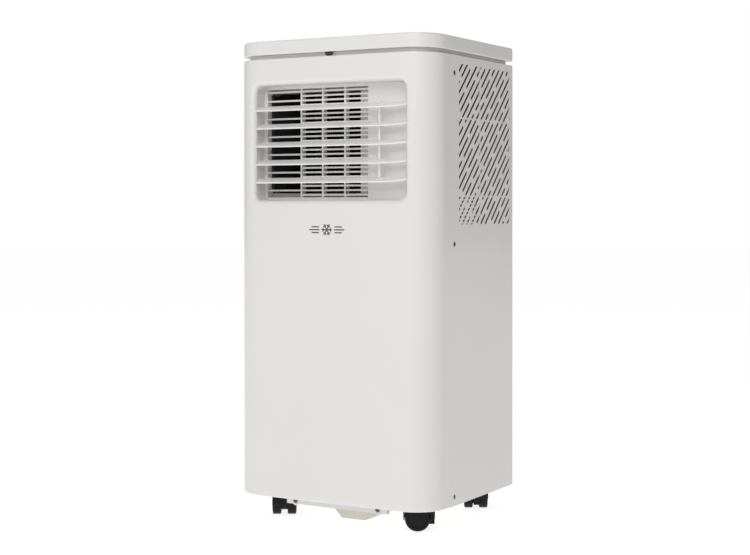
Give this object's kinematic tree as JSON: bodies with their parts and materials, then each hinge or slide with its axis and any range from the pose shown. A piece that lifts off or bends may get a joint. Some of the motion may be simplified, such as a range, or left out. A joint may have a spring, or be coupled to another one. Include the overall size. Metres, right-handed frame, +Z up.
{
  "type": "portable air conditioner",
  "caption": "Upright portable air conditioner on swivel casters, with swinging outlet louvres, slotted side intakes, a rear exhaust collar and push buttons on top.",
  "frame": {"origin": "on the floor under the middle of the cabinet", "axes": "+Z up, front with the air outlet facing -Y, +X to the right seen from the front"},
  "size_m": [0.32, 0.268, 0.68],
  "materials": {
    "shell": "smooth off-white moulded ABS with a soft gloss",
    "cover": "smooth off-white moulded ABS with a soft gloss",
    "louvre": "smooth white moulded plastic",
    "guard": "white moulded plastic",
    "panel": "fine satin plastic",
    "display": "dark gloss window",
    "button": "satin grey plastic",
    "board": "green lacquered board",
    "lens": "dark infrared lens",
    "print": "dark grey print",
    "filter": "fine black net",
    "fin": "bare fin stock",
    "housing": "black foam-lined housing",
    "blower": "black moulded wheel",
    "motor": "zinc-plated can",
    "compressor": "black enamel",
    "rubber": "black rubber",
    "copper": "drawn copper tube",
    "pan": "natural cream plastic",
    "steel": "zinc-plated steel",
    "capacitor": "drawn can",
    "box": "light grey plastic",
    "caster": "black nylon",
    "wheel": "black nylon"
  },
  "bodies": {
    "cabinet": {"front_shell": "shell", "rear_shell": "shell", "side_grille_right": "shell", "side_grille_left": "shell", "top_cover": "cover", "top_collar": "cover", "outlet_frame": "guard", "outlet_guard": "guard", "swing_motor": "motor", "control_panel": "panel", "display_window": "display", "control_board": "board", "remote_receiver": "lens", "front_emblem": "print", "evaporator": "fin", "drip_tray": "housing", "upper_scroll": "housing", "upper_motor": "motor", "condenser": "fin", "lower_scroll": "housing", "lower_motor": "motor", "compressor": "compressor", "accumulator": "compressor", "compressor_feet": "rubber", "discharge_pipe": "copper", "suction_pipe": "copper", "capillary": "copper", "base_pan": "pan", "exhaust_collar": "shell", "electrical_box": "box", "run_capacitor": "capacitor", "cable_gland": "caster", "case_screws": "steel", "foot_strip": "shell", "drain_sump": "pan"},
    "blade_1": {"louvre_blade_1": "louvre"},
    "blade_2": {"louvre_blade_2": "louvre"},
    "blade_3": {"louvre_blade_3": "louvre"},
    "blade_4": {"louvre_blade_4": "louvre"},
    "blade_5": {"louvre_blade_5": "louvre"},
    "link_bar": {"louvre_link": "louvre"},
    "rear_door": {"filter_door": "shell", "filter_mesh": "filter"},
    "cold_wheel": {"upper_blower": "blower"},
    "hot_wheel": {"lower_blower": "blower"},
    "plug": {"drain_plug": "rubber"},
    "power_button_cap": {"power_button": "button"},
    "mode_button_cap": {"mode_button": "button"},
    "fan_button_cap": {"fan_button": "button"},
    "timer_button_cap": {"timer_button": "button"},
    "warmer_button_cap": {"warmer_button": "button"},
    "cooler_button_cap": {"cooler_button": "button"},
    "swivel_front_left": {"caster_front_left": "caster"},
    "rollers_front_left": {"wheels_front_left": "wheel"},
    "swivel_front_right": {"caster_front_right": "caster"},
    "rollers_front_right": {"wheels_front_right": "wheel"},
    "swivel_rear_right": {"caster_rear_right": "caster"},
    "rollers_rear_right": {"wheels_rear_right": "wheel"},
    "swivel_rear_left": {"caster_rear_left": "caster"},
    "rollers_rear_left": {"wheels_rear_left": "wheel"}
  },
  "joints": [
    {"name": "louvre_3", "type": "hinge", "parent": "cabinet", "child": "blade_3", "pos_m": [0, -0.11972, 0.5343], "axis": [1, 0, 0], "range_deg": [-30, 30]},
    {"name": "louvre_1", "type": "hinge", "parent": "cabinet", "child": "blade_1", "pos_m": [0, -0.11972, 0.5853], "axis": [1, 0, 0], "range_deg": [-30, 30]},
    {"name": "louvre_2", "type": "hinge", "parent": "cabinet", "child": "blade_2", "pos_m": [0, -0.11972, 0.5598], "axis": [1, 0, 0], "range_deg": [-30, 30]},
    {"name": "louvre_4", "type": "hinge", "parent": "cabinet", "child": "blade_4", "pos_m": [0, -0.11972, 0.5088], "axis": [1, 0, 0], "range_deg": [-30, 30]},
    {"name": "louvre_5", "type": "hinge", "parent": "cabinet", "child": "blade_5", "pos_m": [0, -0.11972, 0.4833], "axis": [1, 0, 0], "range_deg": [-30, 30]},
    {"name": "louvre_link_slide", "type": "slide", "parent": "cabinet", "child": "link_bar", "axis": [0, 0, 1], "range_m": [-0.00367, 0.00367]},
    {"name": "filter_door_tilt", "type": "hinge", "parent": "cabinet", "child": "rear_door", "pos_m": [0, 0.1324, 0.4456], "axis": [-1, 0, 0], "range_deg": [0, 40]},
    {"name": "cold_blower_spin", "type": "hinge", "parent": "cabinet", "child": "cold_wheel", "pos_m": [-0.022, -0.004, 0.536], "axis": [0, 0, 1], "continuous": true},
    {"name": "hot_blower_spin", "type": "hinge", "parent": "cabinet", "child": "hot_wheel", "pos_m": [-0.03, 0.038, 0.136], "axis": [0, 1, 0], "continuous": true},
    {"name": "drain_plug_pull", "type": "slide", "parent": "cabinet", "child": "plug", "axis": [0, 1, 0], "range_m": [0, 0.012]},
    {"name": "power_button_press", "type": "slide", "parent": "cabinet", "child": "power_button_cap", "axis": [0, 0, -1], "range_m": [0, 0.0008], "stiffness_N_per_m": 400},
    {"name": "mode_button_press", "type": "slide", "parent": "cabinet", "child": "mode_button_cap", "axis": [0, 0, -1], "range_m": [0, 0.0008], "stiffness_N_per_m": 400},
    {"name": "fan_button_press", "type": "slide", "parent": "cabinet", "child": "fan_button_cap", "axis": [0, 0, -1], "range_m": [0, 0.0008], "stiffness_N_per_m": 400},
    {"name": "timer_button_press", "type": "slide", "parent": "cabinet", "child": "timer_button_cap", "axis": [0, 0, -1], "range_m": [0, 0.0008], "stiffness_N_per_m": 400},
    {"name": "warmer_button_press", "type": "slide", "parent": "cabinet", "child": "warmer_button_cap", "axis": [0, 0, -1], "range_m": [0, 0.0008], "stiffness_N_per_m": 400},
    {"name": "cooler_button_press", "type": "slide", "parent": "cabinet", "child": "cooler_button_cap", "axis": [0, 0, -1], "range_m": [0, 0.0008], "stiffness_N_per_m": 400},
    {"name": "swivel_front_left", "type": "hinge", "parent": "cabinet", "child": "swivel_front_left", "pos_m": [-0.114, -0.065, 0.037], "axis": [0, 0, 1], "continuous": true},
    {"name": "roll_front_left", "type": "hinge", "parent": "swivel_front_left", "child": "rollers_front_left", "pos_m": [-0.11, -0.07193, 0.0175], "axis": [0.866, 0.5, 0], "continuous": true},
    {"name": "swivel_front_right", "type": "hinge", "parent": "cabinet", "child": "swivel_front_right", "pos_m": [0.114, -0.065, 0.037], "axis": [0, 0, 1], "continuous": true},
    {"name": "roll_front_right", "type": "hinge", "parent": "swivel_front_right", "child": "rollers_front_right", "pos_m": [0.10707, -0.069, 0.0175], "axis": [0.5, -0.866, 0], "continuous": true},
    {"name": "swivel_rear_right", "type": "hinge", "parent": "cabinet", "child": "swivel_rear_right", "pos_m": [0.114, 0.101, 0.037], "axis": [0, 0, 1], "continuous": true},
    {"name": "roll_rear_right", "type": "hinge", "parent": "swivel_rear_right", "child": "rollers_rear_right", "pos_m": [0.11, 0.10793, 0.0175], "axis": [-0.866, -0.5, 0], "continuous": true},
    {"name": "swivel_rear_left", "type": "hinge", "parent": "cabinet", "child": "swivel_rear_left", "pos_m": [-0.114, 0.101, 0.037], "axis": [0, 0, 1], "continuous": true},
    {"name": "roll_rear_left", "type": "hinge", "parent": "swivel_rear_left", "child": "rollers_rear_left", "pos_m": [-0.11126, 0.10852, 0.0175], "axis": [-0.9397, 0.342, 0], "continuous": true}
  ],
  "couplings": [
    {"joint": "louvre_1", "follows": "louvre_3", "ratio": 1},
    {"joint": "louvre_2", "follows": "louvre_3", "ratio": 1},
    {"joint": "louvre_4", "follows": "louvre_3", "ratio": 1},
    {"joint": "louvre_5", "follows": "louvre_3", "ratio": 1},
    {"joint": "louvre_link_slide", "follows": "louvre_3", "m_per_rad": 0.007}
  ]
}
